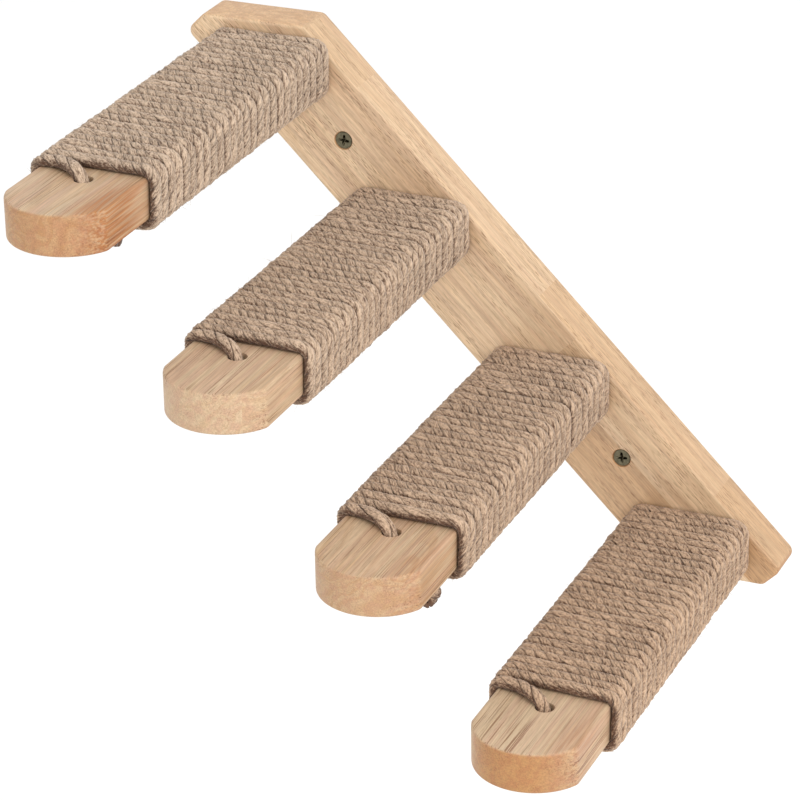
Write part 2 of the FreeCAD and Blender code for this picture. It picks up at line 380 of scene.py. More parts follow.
def rubberwood(name, grain, middle, staves, end_share, seed, pale, shares, toasted_at=None):
    """Rubberwood, edge-glued from staves, planed, sanded and oiled.

    The eye gets pale tan staves of slightly different casts, faint growth bands, fine fibre
    streaks and short open pores along the grain, darker and orange where the end grain drinks
    the oil. grain holds the directions across the staves, along the grain and through the piece.
    staves lists where each next stave starts across the piece, in mm, its cast from 0 to 1, and
    its joints: where each lies along the grain and the cast past it. end_share says how much the
    end grain darkens. shares are the strengths of the growth bands, the pink cast, the short pores
    and the long vessel lines. toasted_at is a toasted corner's middle, across and along the grain
    in mm, and its strength.
    """
    band_share, pink_share, pore_share, vessel_share = shares
    material, tree, colours = new_material(name)

    def times(first, second):
        """Product of two numbers."""
        return maths(tree, "MULTIPLY", first, second)

    place = add_node(tree, "TexCoord", output="Object")
    shift = vectors(tree, "SUBTRACT", place, tuple(middle))
    axes = [vectors(tree, "DOT_PRODUCT", shift, tuple(np.array(way) / MM), output="Value") for way in grain]
    turned = add_node(tree, "CombineXYZ", dict(enumerate(axes)))
    number = 0.0
    cast = 0.0
    for index, (start, here, joints) in enumerate(staves):
        past = maths(tree, "GREATER_THAN", axes[0], start)
        order = float(index)
        for joint, tone in joints:
            beyond = maths(tree, "GREATER_THAN", axes[1], joint)
            here = add_node(tree, "Mix", {0: beyond, 2: here, 3: tone}, data_type="FLOAT")
            order = maths(tree, "MULTIPLY_ADD", beyond, 0.37, order)
        cast = add_node(tree, "Mix", {0: past, 2: cast, 3: here}, data_type="FLOAT")
        number = add_node(tree, "Mix", {0: past, 2: number, 3: order}, data_type="FLOAT")
    # Each stave is cut from another place in the tree
    jump = {0: (37.3, 211.0, 91.7), "Scale": number}
    stave_jump = add_node(tree, "VectorMath", jump, operation="SCALE")
    spot = vectors(tree, "ADD", turned, stave_jump)
    seeded = vectors(tree, "ADD", spot, (seed * 13.1, seed * 57.7, seed * 7.3))

    # Growth rings about a pith outside the stave, 2 to 6 mm apart, bent by slow waves
    bend = noise(tree, seeded, (0.05, 0.006, 0.05))
    flat = vectors(tree, "MULTIPLY", spot, (1.0, 0.02, 1.0))
    pith = vectors(tree, "SUBTRACT", flat, (14.0 + seed * 3, 0.0, -34.0))
    radius = vectors(tree, "LENGTH", pith, output="Value")
    bent = maths(tree, "MULTIPLY_ADD", bend, 30.0, radius)
    ring = times(bent, 0.3)
    rings = add_node(tree, "TexNoise", {"W": ring, "Scale": 1.0, "Detail": 3.0}, noise_dimensions="1D")
    band = remap(tree, rings, 0.38, 0.64)

    # Fibres about 0.7 mm wide and 20 mm long, broad streaks 3 mm wide
    fibre = noise(tree, seeded, (1.5, 0.05, 1.5), 3.0, 0.65)
    streak = noise(tree, seeded, (0.35, 0.01, 0.35), 1.0)

    # Pores: real ones are 0.2 mm wide, drawn 0.3 to 0.4 mm wide and 3 to 5 mm long so that they show
    fine = cells(tree, seeded, (2.1, 0.17, 2.1))
    broad = cells(tree, seeded, (1.1, 0.1, 1.1))
    crowded = remap(tree, noise(tree, seeded, (0.13, 0.016, 0.13), 1.0), 0.42, 0.62, 0.3, 1.0)
    fine_pores = times(remap(tree, fine, 0.14, 0.36, 0.9, 0.0), crowded)
    # Vessel lines 0.3 mm wide and 20 to 50 mm long, crowded like the pores
    aside = vectors(tree, "ADD", seeded, (5.3, 170.0, 11.9))
    vessel = noise(tree, aside, (2.0, 0.018, 2.0), 1.0)
    vessels = times(remap(tree, vessel, 0.57, 0.65, 0.0, vessel_share), crowded)
    broad_pores = times(remap(tree, broad, 0.10, 0.24, 1.0, 0.0), crowded)
    short = times(maths(tree, "MAXIMUM", fine_pores, broad_pores), pore_share)
    # Sanding closes most of the pores in the end grain
    end = attribute(tree, "end_grain")
    open_share = remap(tree, end, 0.25, 1.0, 1.0, 0.4)
    pores = times(maths(tree, "MAXIMUM", short, vessels), open_share)

    # Colour: growth bands, broad casts, stave, fibres, pores, end grain
    banded = blend(tree, times(band, band_share), getattr(colours, pale), colours.wood_tan)
    pink = remap(tree, streak, 0.35, 0.68, 0.0, pink_share)
    pinked = blend(tree, pink, banded, colours.wood_pink)
    stave = blend(tree, cast, pinked, colours.wood_tan)
    threads = remap(tree, fibre, 0.35, 0.65, 0.83, 1.12, "LINEAR")
    streaked = blend(tree, 1.0, stave, threads, "MULTIPLY")
    pored = blend(tree, times(pores, 0.85), streaked, colours.wood_pore)
    if toasted_at:
        # An orange patch that fades out 20 mm across and 50 mm along the grain, in stripes 1 mm wide
        apart = vectors(tree, "SUBTRACT", turned, (*toasted_at[:2], 0.0))
        squeezed = vectors(tree, "MULTIPLY", apart, (1.0, 0.4, 0.0))
        away = vectors(tree, "LENGTH", squeezed, output="Value")
        stripe = remap(tree, noise(tree, seeded, (1.0, 0.03, 1.0), 2.0), 0.35, 0.65, 0.4, 0.95)
        side = remap(tree, end, 0.3, 1.0, 1.0, 0.35)
        near = times(remap(tree, away, 2.0, 20.0, toasted_at[2], 0.0), side)
        toast = times(near, stripe)
        pored = blend(tree, toast, pored, colours.wood_toast, "MULTIPLY")
    soaked = remap(tree, end, 0.25, 1.0, 0.0, end_share)
    oiled = blend(tree, soaked, pored, colours.end_grain, "MULTIPLY")

    # Sanded surface: open pores are pits, fibres stand up by a few hundredths of a millimetre
    rough = remap(tree, fibre, 0.3, 0.7, 0.48, 0.62)
    relief = maths(tree, "MULTIPLY_ADD", pores, -1.6, fibre)
    bump = add_node(tree, "Bump", {"Height": relief, "Strength": 0.5, "Distance": 0.08 * MM})
    return shaded(material, {"Base Color": oiled, "Roughness": rough, "Normal": bump})


def jute(name):
    """Jute rope, three strands laid to the right, each spun from coarse yarns.

    The eye gets dull brown-beige strands with fine fibres that run nearly along the rope, grooves
    darkened by painted shade, and a soft sheen at grazing angles. U runs along a strand and V round it, in
    mm.
    """
    material, tree, colours = new_material(name)
    place = add_node(tree, "UVMap", uv_map="strand")
    # Fibres cross a strand at about 25 degrees, against the rope's lay
    turned = add_node(tree, "Mapping", {"Vector": place, "Rotation": (0, 0, math.radians(25))})
    # Real fibres are 0.1 mm wide, drawn 0.7 mm wide and 1.7 mm long so that they show
    fibre = noise(tree, turned, (0.6, 1.4, 1.0), 3.0, 0.8)
    # Yarns about 1.3 mm wide, and slubs of 2 to 3 mm
    yarn = noise(tree, turned, (0.07, 0.8, 1.0), 1.0)
    slub = noise(tree, place, (0.35, 0.5, 1.0), 1.0)
    # Dye lots and dirt, a few centimetres long
    lot = noise(tree, place, (0.02, 0.1, 1.0))
    # Painted shade: grooves and the gaps between turns are darker, by how open each point lies to the light
    lit = remap(tree, attribute(tree, "openness"), 0.2, 0.95, 0.03, 0.73)
    speckle = maths(tree, "MULTIPLY_ADD", fibre, 4.0, -2.0)
    yarns = maths(tree, "MULTIPLY_ADD", yarn, 1.3, -0.65)
    share = maths(tree, "ADD", lit, maths(tree, "ADD", speckle, yarns))
    clamped = add_node(tree, "Clamp", {"Value": share})
    toned = blend(tree, clamped, colours.jute_dark, colours.jute_light)
    patch = remap(tree, lot, 0.3, 0.7, 0.90, 1.08, "LINEAR")
    lots = blend(tree, 1.0, toned, patch, "MULTIPLY")
    # Painted shade: the lower ropes are darker and browner, standing in for less light reaching the lower
    # steps
    lower_shaded = blend(tree, attribute(tree, "lower_shade"), lots, colours.jute_lower_shade, "MULTIPLY")
    # Relief: fibres, yarns and slubs
    strands = maths(tree, "MULTIPLY_ADD", yarn, 1.2, fibre)
    relief = maths(tree, "MULTIPLY_ADD", slub, 0.8, strands)
    bump = add_node(tree, "Bump", {"Height": relief, "Strength": 1.0, "Distance": 0.5 * MM})
    sheen = {"Sheen Weight": 0.15, "Sheen Roughness": 0.4}
    return shaded(material, {"Base Color": lower_shaded, "Roughness": 0.85, "Normal": bump, **sheen})


def loose_jute(name):
    """Loose jute fibres, combed out by handling: pale and dull, of uneven tone."""
    material, tree, colours = new_material(name)
    place = add_node(tree, "TexCoord", output="Object")
    # Tone changes every 3 mm
    spot = add_node(tree, "TexNoise", {"Vector": place, "Scale": 350.0, "Detail": 1.0})
    tone = blend(tree, spot, colours.jute_dark, colours.jute_light)
    return shaded(material, {"Base Color": tone, "Roughness": 0.8, "Sheen Weight": 0.1})


def screw_steel(name):
    """Cold-headed steel screw with yellow passivated zinc: satin olive grey with small stains."""
    material, tree, colours = new_material(name)
    place = add_node(tree, "TexCoord", output="Object")
    # Stains 1 to 2 mm across
    stain = add_node(tree, "TexNoise", {"Vector": place, "Scale": 700.0, "Detail": 3.0})
    tone = blend(tree, 1.0, colours.steel, remap(tree, stain, 0.3, 0.7, 0.6, 1.1), "MULTIPLY")
    rough = remap(tree, stain, 0.3, 0.7, 0.32, 0.5)
    return shaded(material, {"Base Color": tone, "Metallic": 1.0, "Roughness": rough})


def painted_floor(name):
    """Matt white studio floor: rolled emulsion paint, no pattern to see."""
    material, _, colours = new_material(name)
    return shaded(material, {"Base Color": colours.floor, "Roughness": 0.9})


# Board

# Points on each rounded corner of the board and the tips
CORNER_POINTS = 9


def rounded_polygon(corners, radius):
    """Closed outline of a polygon whose corners are arcs of one radius.

    At each corner the arc is tangent to both sides, and its points sweep evenly from one
    tangent point to the other.
    """
    before = unit(np.roll(corners, 1, 0) - corners)
    after = unit(np.roll(corners, -1, 0) - corners)
    half = np.arccos(np.clip((before * after).sum(1), -1, 1))[:, None] / 2
    centre = corners + unit(before + after) * (radius / np.sin(half))
    start, end = (corners + way * (radius / np.tan(half)) - centre for way in (before, after))
    first = np.arctan2(start[:, 1:], start[:, :1])
    sweep = (np.arctan2(end[:, 1:], end[:, :1]) - first + np.pi) % (2 * np.pi) - np.pi
    rim = centre[:, None] + radius * directions(first + sweep * np.linspace(0, 1, CORNER_POINTS))
    return rim.reshape(-1, 2)


def board_outline(sizes):
    """The board's outline seen from the front, as x and z, clockwise, and its slope."""
    run = node_size("step_4")[0] - node_size("step_1")[0]
    slope = math.atan2(-run[2], run[0])
    half_level = sizes.board_width / 2 / math.sin(slope)
    half_height = BOARD_SIZE[2] / 2
    shift = half_height / math.tan(slope)
    level_cut = sizes.board_square_end / math.sin(slope)
    edge_cut = sizes.board_square_end / math.tan(slope)
    half = np.array(
        [
            (-shift - half_level + level_cut, half_height),
            (-shift + half_level, half_height),
            (shift + half_level - edge_cut * math.cos(slope), edge_cut * math.sin(slope) - half_height),
        ]
    )
    return rounded_polygon(np.concatenate([half, -half]), sizes.board_corner), slope


def build_board(sizes):
    """The board: rims are quarter circles round the outline, and screw holes are turned walls."""
    outline, slope = board_outline(sizes)
    grain = (math.cos(slope), -math.sin(slope))
    rows, rim_ends = rounded_rim(outline, True, grain, sizes.board_arris, (BOARD_FRONT, BOARD_BACK), count=6)
    ends = [rim_ends]
    shape = Shape()
    rim = shape.add_grid(rows[..., [0, 2, 1]])
    front_loops, back_loops = [rim[0]], [rim[-1]]
    mouth = sizes.screw_head / 2 + 0.35 * MM
    hole = 2.25 * MM
    sunk = 0.7 * MM
    # Hole from the head's side: softened mouth, short straight wall with a gap round the head,
    # countersink, clearance hole
    profile = soft_mouth(mouth, 0.25 * MM)
    profile += [(mouth, sunk), (hole, sunk + mouth - hole), (hole, BOARD_SIZE[1])]
    sides = 48
    for node in SCREW_NODES:
        middle, way = screw_place(node)
        start = BOARD_FRONT if way > 0 else BOARD_BACK
        wall = lathe([(radius, way * depth) for radius, depth in profile], circle(sides))
        wall = shape.add_grid(wall + (middle[0], start, middle[2]), flip=way > 0)
        # Only the wall is end grain: its first and last ring belong to the flat faces too
        ends.append(np.repeat([0.0, 1.0, 1.0, 1.0, 1.0, 0.0], sides))
        near, far = (front_loops, back_loops) if way > 0 else (back_loops, front_loops)
        near.append(wall[0])
        far.append(wall[-1])
    shape.add_flat(*front_loops)
    shape.add_flat(*back_loops)
    material = rubberwood(
        "rubberwood_board",
        ((math.sin(slope), 0, math.cos(slope)), (math.cos(slope), 0, -math.sin(slope)), (0, 1, 0)),
        BOARD_MIDDLE,
        [
            (-60.0, 0.0, [(40.0, 0.5)]),
            (3.0, 0.0, []),
            (8.0, 0.05, [(40.0, 0.16), (148.0, 0.8)]),
            # The narrow outer edge shows joints of its own. Its darker cast is partly painted shade, which
            # holds down that edge under the strong light from above
            (sizes.board_width / 2 / MM - 0.6, 0.3, [(-108.0, 0.15), (15.0, 0.42), (134.0, 0.55)]),
        ],
        end_share=0.55,
        seed=2.0,
        pale="board_pale",
        shares=(0.22, 0.4, 1.0, 0.3),
    )
    ends = {"end_grain": np.concatenate(ends)}
    turn_outward(shape.piece("backboard_wood", material, "rubberwood_board", ["backboard"], ends))


# Steps

# For each step, in mm: radii of the tip's left and right corners, how much longer the plank is than
# the common length, how far its rope hole is from the common reach, and where its rope's end runs
# under the plank, right of the hole and towards the tip. Then staves with their cast, how strong its
# growth bands and its toasted corner are, how dark its end grain is, rope turns and seed
STEP_LOOKS = (
    dict(
        corners=(9, 5), longer=-0.4, hole=-1.0, under=[(5.5, 0), (11, 0.5), (15.2, 1)],
        staves=[(-60, 0.05)], bands=0.45, toast=1.3, end=0.75, turns=27, seed=3,
    ),
    dict(
        corners=(6, 5), longer=-2.3, hole=0.0, under=[(4.5, 1.5), (9, 3), (13, 5)],
        staves=[(-60, 0.0), (17, 0.12)], bands=0.3, toast=0.15, end=0.12, turns=29, seed=8,
    ),
    dict(
        corners=(4, 5), longer=1.2, hole=0.4,
        under=[(8, -2), (14.5, -4), (18.2, -1), (18.9, 4), (18.9, 8.5)],
        staves=[(-60, 0.12)], bands=0.45, toast=0.6, end=0.4, turns=27, seed=5,
    ),
    dict(
        corners=(6, 5), longer=0.0, hole=0.8, under=[(4, 1.5), (8, 3), (12, 5)],
        staves=[(-60, 0.0), (17, 0.0)], bands=0.1, toast=0.6, end=1.0, turns=29, seed=11,
    ),
)


def tip_outline(sizes, corners, long):
    """A plank's plan from its left root round the tip to its right root, as x and reach.

    The tip is one arc through the nose, and a corner arc is tangent to it and to the side.
    """
    half = PLANK_SIZE[0] / 2
    crown = sizes.tip_crown
    bow = (half**2 + crown**2) / (2 * crown)
    hub = long - bow
    lean = sizes.tip_lean
    arcs = []
    for radius, side in zip(corners, (half + lean, half - lean)):
        off = side - radius
        up = math.sqrt((bow - radius) ** 2 - off**2)
        arcs.append((radius, off, hub + up, math.degrees(math.atan2(up, off))))
    (left, left_off, left_reach, left_end), (right, right_off, right_reach, right_end) = arcs
    shank_points, bow_points = 11, 57
    shank = np.linspace(0, 1, shank_points + 1)[:-1]
    points = [
        np.stack([np.full(shank_points, -half), shank * left_reach], -1),
        arc((lean - left_off, left_reach), left, 180, 180 - left_end, CORNER_POINTS)[:-1],
        arc((lean, hub), bow, 180 - left_end, right_end, bow_points),
        arc((lean + right_off, right_reach), right, right_end, 0, CORNER_POINTS)[1:],
        np.stack([np.full(shank_points, half), shank[::-1] * right_reach], -1),
    ]
    return np.concatenate(points)


def build_step(sizes, number):
    """A plank: rims are quarter circles round its plan, and the hole has softened mouths."""
    look = STEP_LOOKS[number]
    node = "step_%d" % (number + 1)
    middle, size = node_size(node)
    half = size[2] / 2
    long = PLANK_SIZE[1] + look["longer"] * MM
    shoulder = long - sizes.tip_crown
    outline = tip_outline(sizes, [radius * MM for radius in look["corners"]], long)
    flats = (middle[2] - half, middle[2] + half)
    rows, rim_ends = rounded_rim(outline, False, (0, 1), sizes.plank_arris, flats, count=7)
    shape = Shape()
    rim = shape.add_grid(rows * (1, -1, 1) + (middle[0], BOARD_FRONT, 0), closed=False)
    hole = sizes.rope_hole / 2
    reach = sizes.rope_hole_reach + look["hole"] * MM
    profile = [(radius, depth - half) for radius, depth in soft_mouth(hole, 0.4 * MM)]
    profile += [(radius, -level) for radius, level in reversed(profile)]
    wall = lathe(profile, circle(40))[..., [0, 2, 1]]
    wall = shape.add_grid(wall + (middle[0], BOARD_FRONT - reach, middle[2]))
    # The drilled wall is part end grain, part face grain
    wall_ends = np.full(wall.size, 0.3)
    shape.add_flat(rim[0], wall[0])
    shape.add_flat(rim[-1], wall[-1])
    shape.add_flat(np.concatenate([rim[:, 0], rim[::-1, -1]]))
    material = rubberwood(
        "rubberwood_plank_%d" % (number + 1),
        np.eye(3),
        middle,
        [(start, cast, []) for start, cast in look["staves"]],
        end_share=look["end"],
        seed=look["seed"],
        pale="wood_pale",
        shares=(look["bands"], 0.7, 0.3, 0.9),
        toasted_at=(PLANK_SIZE[0] / 2 / MM, (PLANK_SIZE[1] / 2 - shoulder) / MM, look["toast"]),
    )
    ends = {"end_grain": np.concatenate([rim_ends, wall_ends])}
    turn_outward(shape.piece("plank_%d" % (number + 1), material, "rubberwood_plank", [node], ends))


# Rope

# Distance between rings of the rope
RING_STRIDE = 1.3 * MM
# Points on each corner of a turn
TURN_POINTS = 13
STRANDS = 3


def winding_section(sizes):
    """One turn of the rope's middle line round a plank, from the bottom's right end, clockwise.

    It gives the distance walked, then x, z and the outward direction at points of a rectangle
    with round corners, a little nearer to the wood on the sides than on the flat faces.
    """
    wood_gap = 0.05 * MM
    off_side = sizes.rope_side_height / 2 + wood_gap
    off_flat = sizes.rope_height / 2 + wood_gap
    radius = sizes.rope_corner + off_side
    hub = np.array([PLANK_SIZE[0] / 2 + off_side - radius, PLANK_SIZE[2] / 2 + off_flat - radius])
    points = []
    outward = []
    for corner, start in (((-1, -1), 270), ((-1, 1), 180), ((1, 1), 90), ((1, -1), 0)):
        way = directions(np.radians(np.linspace(start, start - 90, TURN_POINTS)))
        points.append(hub * corner + radius * way)
        outward.append(way)
    # The last point comes first too, which closes the turn
    points = np.concatenate([points[-1][-1:], *points])
    outward = np.concatenate([outward[-1][-1:], *outward])
    return running_sum(strides(points)), points, outward


def smooth_line(points, spacing, passes):
    """Rows at even spacing along a line, averaged with their neighbours a number of times.

    The first three columns are the place, and the others follow it.
    """
    for _ in range(passes):
        points = np.concatenate([points[:1], (points[:-2] + 2 * points[1:-1] + points[2:]) / 4, points[-1:]])
    walked = running_sum(strides(points[:, :3]))
    even = np.linspace(0, walked[-1], int(walked[-1] / spacing) + 1)
    return np.stack([np.interp(even, walked, column) for column in points.T], -1)


def rope_line(sizes, number):
    """Middle line of one rope, with its outward direction and half thicknesses.

    The winding starts flat against the board: its first turns step over by one pitch under the
    plank and run level elsewhere, and the later ones become an even helix. Then the tail leaves
    the left edge, crosses the tip's top to the hole, turns down and ends below.
    Columns: x, reach, level, outward x, outward level, half height, half width, and how free the
    rope is, 0 on the wrap and 1 on its tail.
    """
    look = STEP_LOOKS[number]
    walked, section, outward = winding_section(sizes)
    around = walked[-1]
    under = walked[TURN_POINTS]
    # The tail starts just past the left top corner
    leave = walked[2 * TURN_POINTS] + 1.5 * MM
    total = (look["turns"] - 1) * around + leave
    way = np.arange(under, total, 0.8 * MM)
    spot = way % around
    # Turns after which the winding is an even helix
    helix_after = 12
    even = np.clip(way / around / helix_after, 0, 1)
    even = even * even * (3 - 2 * even)
    level = np.minimum(spot / under, 1) - 1
    grown = np.floor(way / around) + (1 - even) * level + even * (spot / around - under / around)
    first_reach = 3.45 * MM
    last_reach = sizes.rope_hole_reach - 9.0 * MM
    pitch = (last_reach - first_reach) / grown[-1]
    # Turns wander sideways over about 20 cm of rope, and rise and fall over 3 cm
    ends = np.clip(np.minimum(way - under, total - way) / around, 0, 1)
    wander = steady_noise(len(way), 260, 100 + number) * 0.22 * MM
    reach = first_reach + pitch * grown + wander * ends
    lift = steady_noise(len(way), 40, 200 + number) * 0.10 * MM
    x, z, out_x, out_z = (np.interp(spot, walked, column) for column in (*section.T, *outward.T))
    extra_height = (sizes.rope_height - sizes.rope_side_height) * np.abs(out_z)
    half_height = (sizes.rope_side_height + extra_height) / 2
    # Crowns of the strands reach into the grooves of the next turn
    half_width = np.full(len(way), pitch / 2 * 1.07)
    place = (x + out_x * lift, reach, z + out_z * lift)
    wound = np.column_stack([*place, out_x, out_z, half_height, half_width, np.zeros(len(way))])

    top = PLANK_SIZE[2] / 2
    loose = sizes.rope_diameter / 2
    hole = sizes.rope_hole_reach + look["hole"] * MM
    low = -top - sizes.rope_end_drop + loose
    # Points of the tail: right of the hole and forward of it in mm, and level in metres
    tail = [
        (-15.5, -8.0, top + 2.75 * MM),
        (-11.0, -6.0, top + 3.1 * MM),
        (-6.5, -3.4, top + 3.1 * MM),
        (-2.8, -1.2, top + 2.0 * MM),
        (-0.6, -0.2, top - 1.5 * MM),
        (0.0, 0.0, top - 6.0 * MM),
        (0.2, 0.0, 0.0),
        (0.2, 0.0, -top + 1.0 * MM),
        (1.6, 0.5, -top - 3.0 * MM),
        *((across, forward, low) for across, forward in look["under"]),
    ]
    tail = np.array(tail) * (MM, MM, 1) + (0, hole, 0)
    count = len(tail)
    # How far the rope has gone from its pressed shape to its loose one
    loosened = np.array([0.0, 0.5, 0.9] + [1.0] * (count - 3))
    tail_height = half_height[-1] + (loose * 0.97 - half_height[-1]) * loosened
    tail_width = half_width[-1] + (loose - half_width[-1]) * loosened
    extra = np.column_stack([tail, np.zeros(count), np.ones(count), tail_height, tail_width, np.ones(count)])
    # Catmull-Rom through the tail's points, the winding's end before them
    knots = np.concatenate([wound[-12::6], extra])
    knots = np.concatenate([knots, knots[-1:] * 2 - knots[-2:-1]])
    t = np.linspace(0, 1, 9)[:-1, None, None]
    a, b, c, d = knots[:-3], knots[1:-2], knots[2:-1], knots[3:]
    curve = 0.5 * (2 * b + (c - a) * t + (2 * a - 5 * b + 4 * c - d) * t**2 + (3 * b - a - 3 * c + d) * t**3)
    curve = curve.transpose(1, 0, 2).reshape(-1, knots.shape[1])
    return smooth_line(np.concatenate([wound[:-6], curve[1:], knots[-2:-1]]), RING_STRIDE, 3)


def rope_space(line):
    """Middle points in step space (x, -reach, level) with the frame outward, across and along."""
    middle = np.stack([line[:, 0], -line[:, 1], line[:, 2]], -1)
    along = unit(np.gradient(middle, axis=0))
    outward = np.stack([line[:, 3], np.zeros(len(line)), line[:, 4]], -1)
    # On the tail, across is level and square to the latest heading that isn't nearly upright
    heading = along * np.array([1, 1, 0])
    steady = np.linalg.norm(heading, axis=1) > 0.35
    latest = np.maximum.accumulate(np.where(steady, np.arange(len(line)), 0))
    across_tail = unit(np.cross(heading[latest], [0, 0, 1.0]))
    tail = line[:, 7:8] > 0.5
    across = np.where(tail, across_tail, np.cross(along, unit(outward)))
    across = unit(across - along * (across * along).sum(1, keepdims=True))
    return middle, np.cross(across, along), across, along


def build_rope(sizes, number):
    """One rope: three strands, each a tube whose middle circles the rope's line once a lay.

    In the rope's cross-section, squeezed to its two half thicknesses, a strand is an ellipse
    pressed flat against its neighbours, whose middle lies a little outside half the radius.
    It returns the rope's length.
    """
    line = rope_line(sizes, number)
    middle, outward, across, along = rope_space(line)
    place = node_size("step_%d" % (number + 1))[0]
    middle = middle + (place[0], BOARD_FRONT, place[2])
    count = len(middle)
    walked = running_sum(strides(middle))
    # Strands press flat round the plank. In the free tail they stand apart and their lay opens
    half_height, half_width = line[:, 5:6], line[:, 6:7]
    free = np.clip(line[:, 7:8], 0, 1)
    turned = running_sum(strides(middle) / (sizes.rope_lay * (1 + 0.6 * free[1:, 0])))
    lay = turned * 2 * np.pi + steady_noise(count, 40, 300 + number) * 1.1
    sides = 8
    # The seam of the coordinates faces the rope's core
    around = np.arange(sides) * 2 * np.pi / sides - np.pi
    step_round = 2 * np.pi / sides * half_width.mean() * 0.5 / MM
    shape = Shape()
    openness = []
    tubes = []
    for strand in range(STRANDS):
        angle = (lay + strand * 2 * np.pi / STRANDS)[:, None]
        swell = 1 + 0.04 * steady_noise(count, 8, 400 + number * 10 + strand)[:, None]
        away = 0.525 + 0.035 * free + (0.475 - 0.035 * free) * swell * np.cos(around)
        aside = (0.80 - 0.06 * free) * swell * np.sin(around)
        out_part = away * np.cos(angle) - aside * np.sin(angle)
        side_part = away * np.sin(angle) + aside * np.cos(angle)
        rings = (
            middle[:, None]
            + outward[:, None] * (out_part * half_height)[..., None]
            + across[:, None] * (side_part * half_width)[..., None]
        )
        # Each strand reads its own part of the pattern, 40 mm from the next one's
        v = (np.arange(sides + 1) - sides / 2) * step_round + strand * 40
        tube = shape.add_grid(rings, uv=(v, walked / MM))
        shape.add_face(tube[0, ::-1])
        shape.add_face(tube[-1])
        # How open each point lies to the light, for the rope's painted shade: most near the wrap's outside
        # and on the strands' crowns
        height = np.clip((out_part + 0.15) / 0.95, 0, 1)
        rise = np.clip((np.hypot(out_part, side_part) - 0.65) / 0.35, 0, 1) ** 0.5
        openness.append((height * rise).ravel())
        tubes.append(rings)
    # Share of the painted shade on the lower ropes: none on the top rope, full on the lowest
    lower_shade = np.full(STRANDS * count * sides, number / (STEP_COUNT - 1))
    shape.piece(
        "rope_%d" % (number + 1),
        MATERIALS["jute"],
        "jute_rope",
        ["rope_wrap_%d" % (number + 1)],
        {"openness": np.concatenate(openness), "lower_shade": lower_shade},
        crease=180,
        uv_name="strand",
    )
    build_hairs(sizes, number, np.stack(tubes), middle, outward, along)
    return walked[-1]


def build_hairs(sizes, number, tubes, middle, outward, along):
    """Loose fibres: thin three-sided needles that leave the rope and bend back along it.

    A needle's middle line is its root plus length times (direction t + bend t squared), and its
    thickness falls from root to tip.
    """
    random = np.random.RandomState(500 + number)
    amount = sizes.hair_count
    strand = random.randint(0, STRANDS, amount)
    ring = random.randint(2, len(middle) - 1, amount)
    side = random.randint(2, 7, amount)
    root = tubes[strand, ring, side]
    out = unit(root - middle[ring])
    # No fibre starts on the side that lies on the wood
    keep = (out * outward[ring]).sum(1) > 0.05
    root, out, ring = root[keep], out[keep], ring[keep]
    amount = len(root)
    way = unit(
        out * random.uniform(0.25, 1.0, (amount, 1))
        + along[ring] * random.uniform(-1.4, 1.4, (amount, 1))
        + random.normal(0, 0.35, (amount, 3))
    )
    bend = unit(random.normal(0, 1, (amount, 3))) * random.uniform(0.1, 0.7, (amount, 1))
    long = np.clip(random.lognormal(math.log(1.5), 0.5, (amount, 1)), 0.5, 5.5) * MM
    t = np.array([0, 0.35, 0.7, 1.0])[:, None]
    centre = root[:, None] + long[:, None] * (way[:, None] * t + bend[:, None] * t**2)
    side_a = unit(np.cross(way, random.normal(0, 1, (amount, 3))))
    side_b = np.cross(way, side_a)
    thick = np.array([1.0, 0.9, 0.7, 0.3]) * 0.055 * MM
    plan = circle(3)
    arm = side_a[:, None, None] * plan[:, :1] + side_b[:, None, None] * plan[:, 1:]
    shape = Shape()
    shape.points = [(centre[:, :, None] + arm * thick[:, None, None]).reshape(-1, 3)]
    sides = grid_quads(4, 3, True)
    caps = np.array([[0, 2, 1], [9, 10, 11]])
    first = np.arange(amount)[:, None, None] * 12
    shape.faces = (sides + first).reshape(-1, 4).tolist() + (caps + first).reshape(-1, 3).tolist()
    shape.piece("rope_%d_loose_fibres" % (number + 1), MATERIALS["loose jute"], "jute_rope", crease=180)


# Screws


def screw_place(node):
    """Middle of a screw's head and which way the screw points along Y, from its CAD node."""
    head, size = node_size(node)
    way = 1 if node.startswith("wall") else -1
    head[1] -= way * size[1] / 2
    return head, way


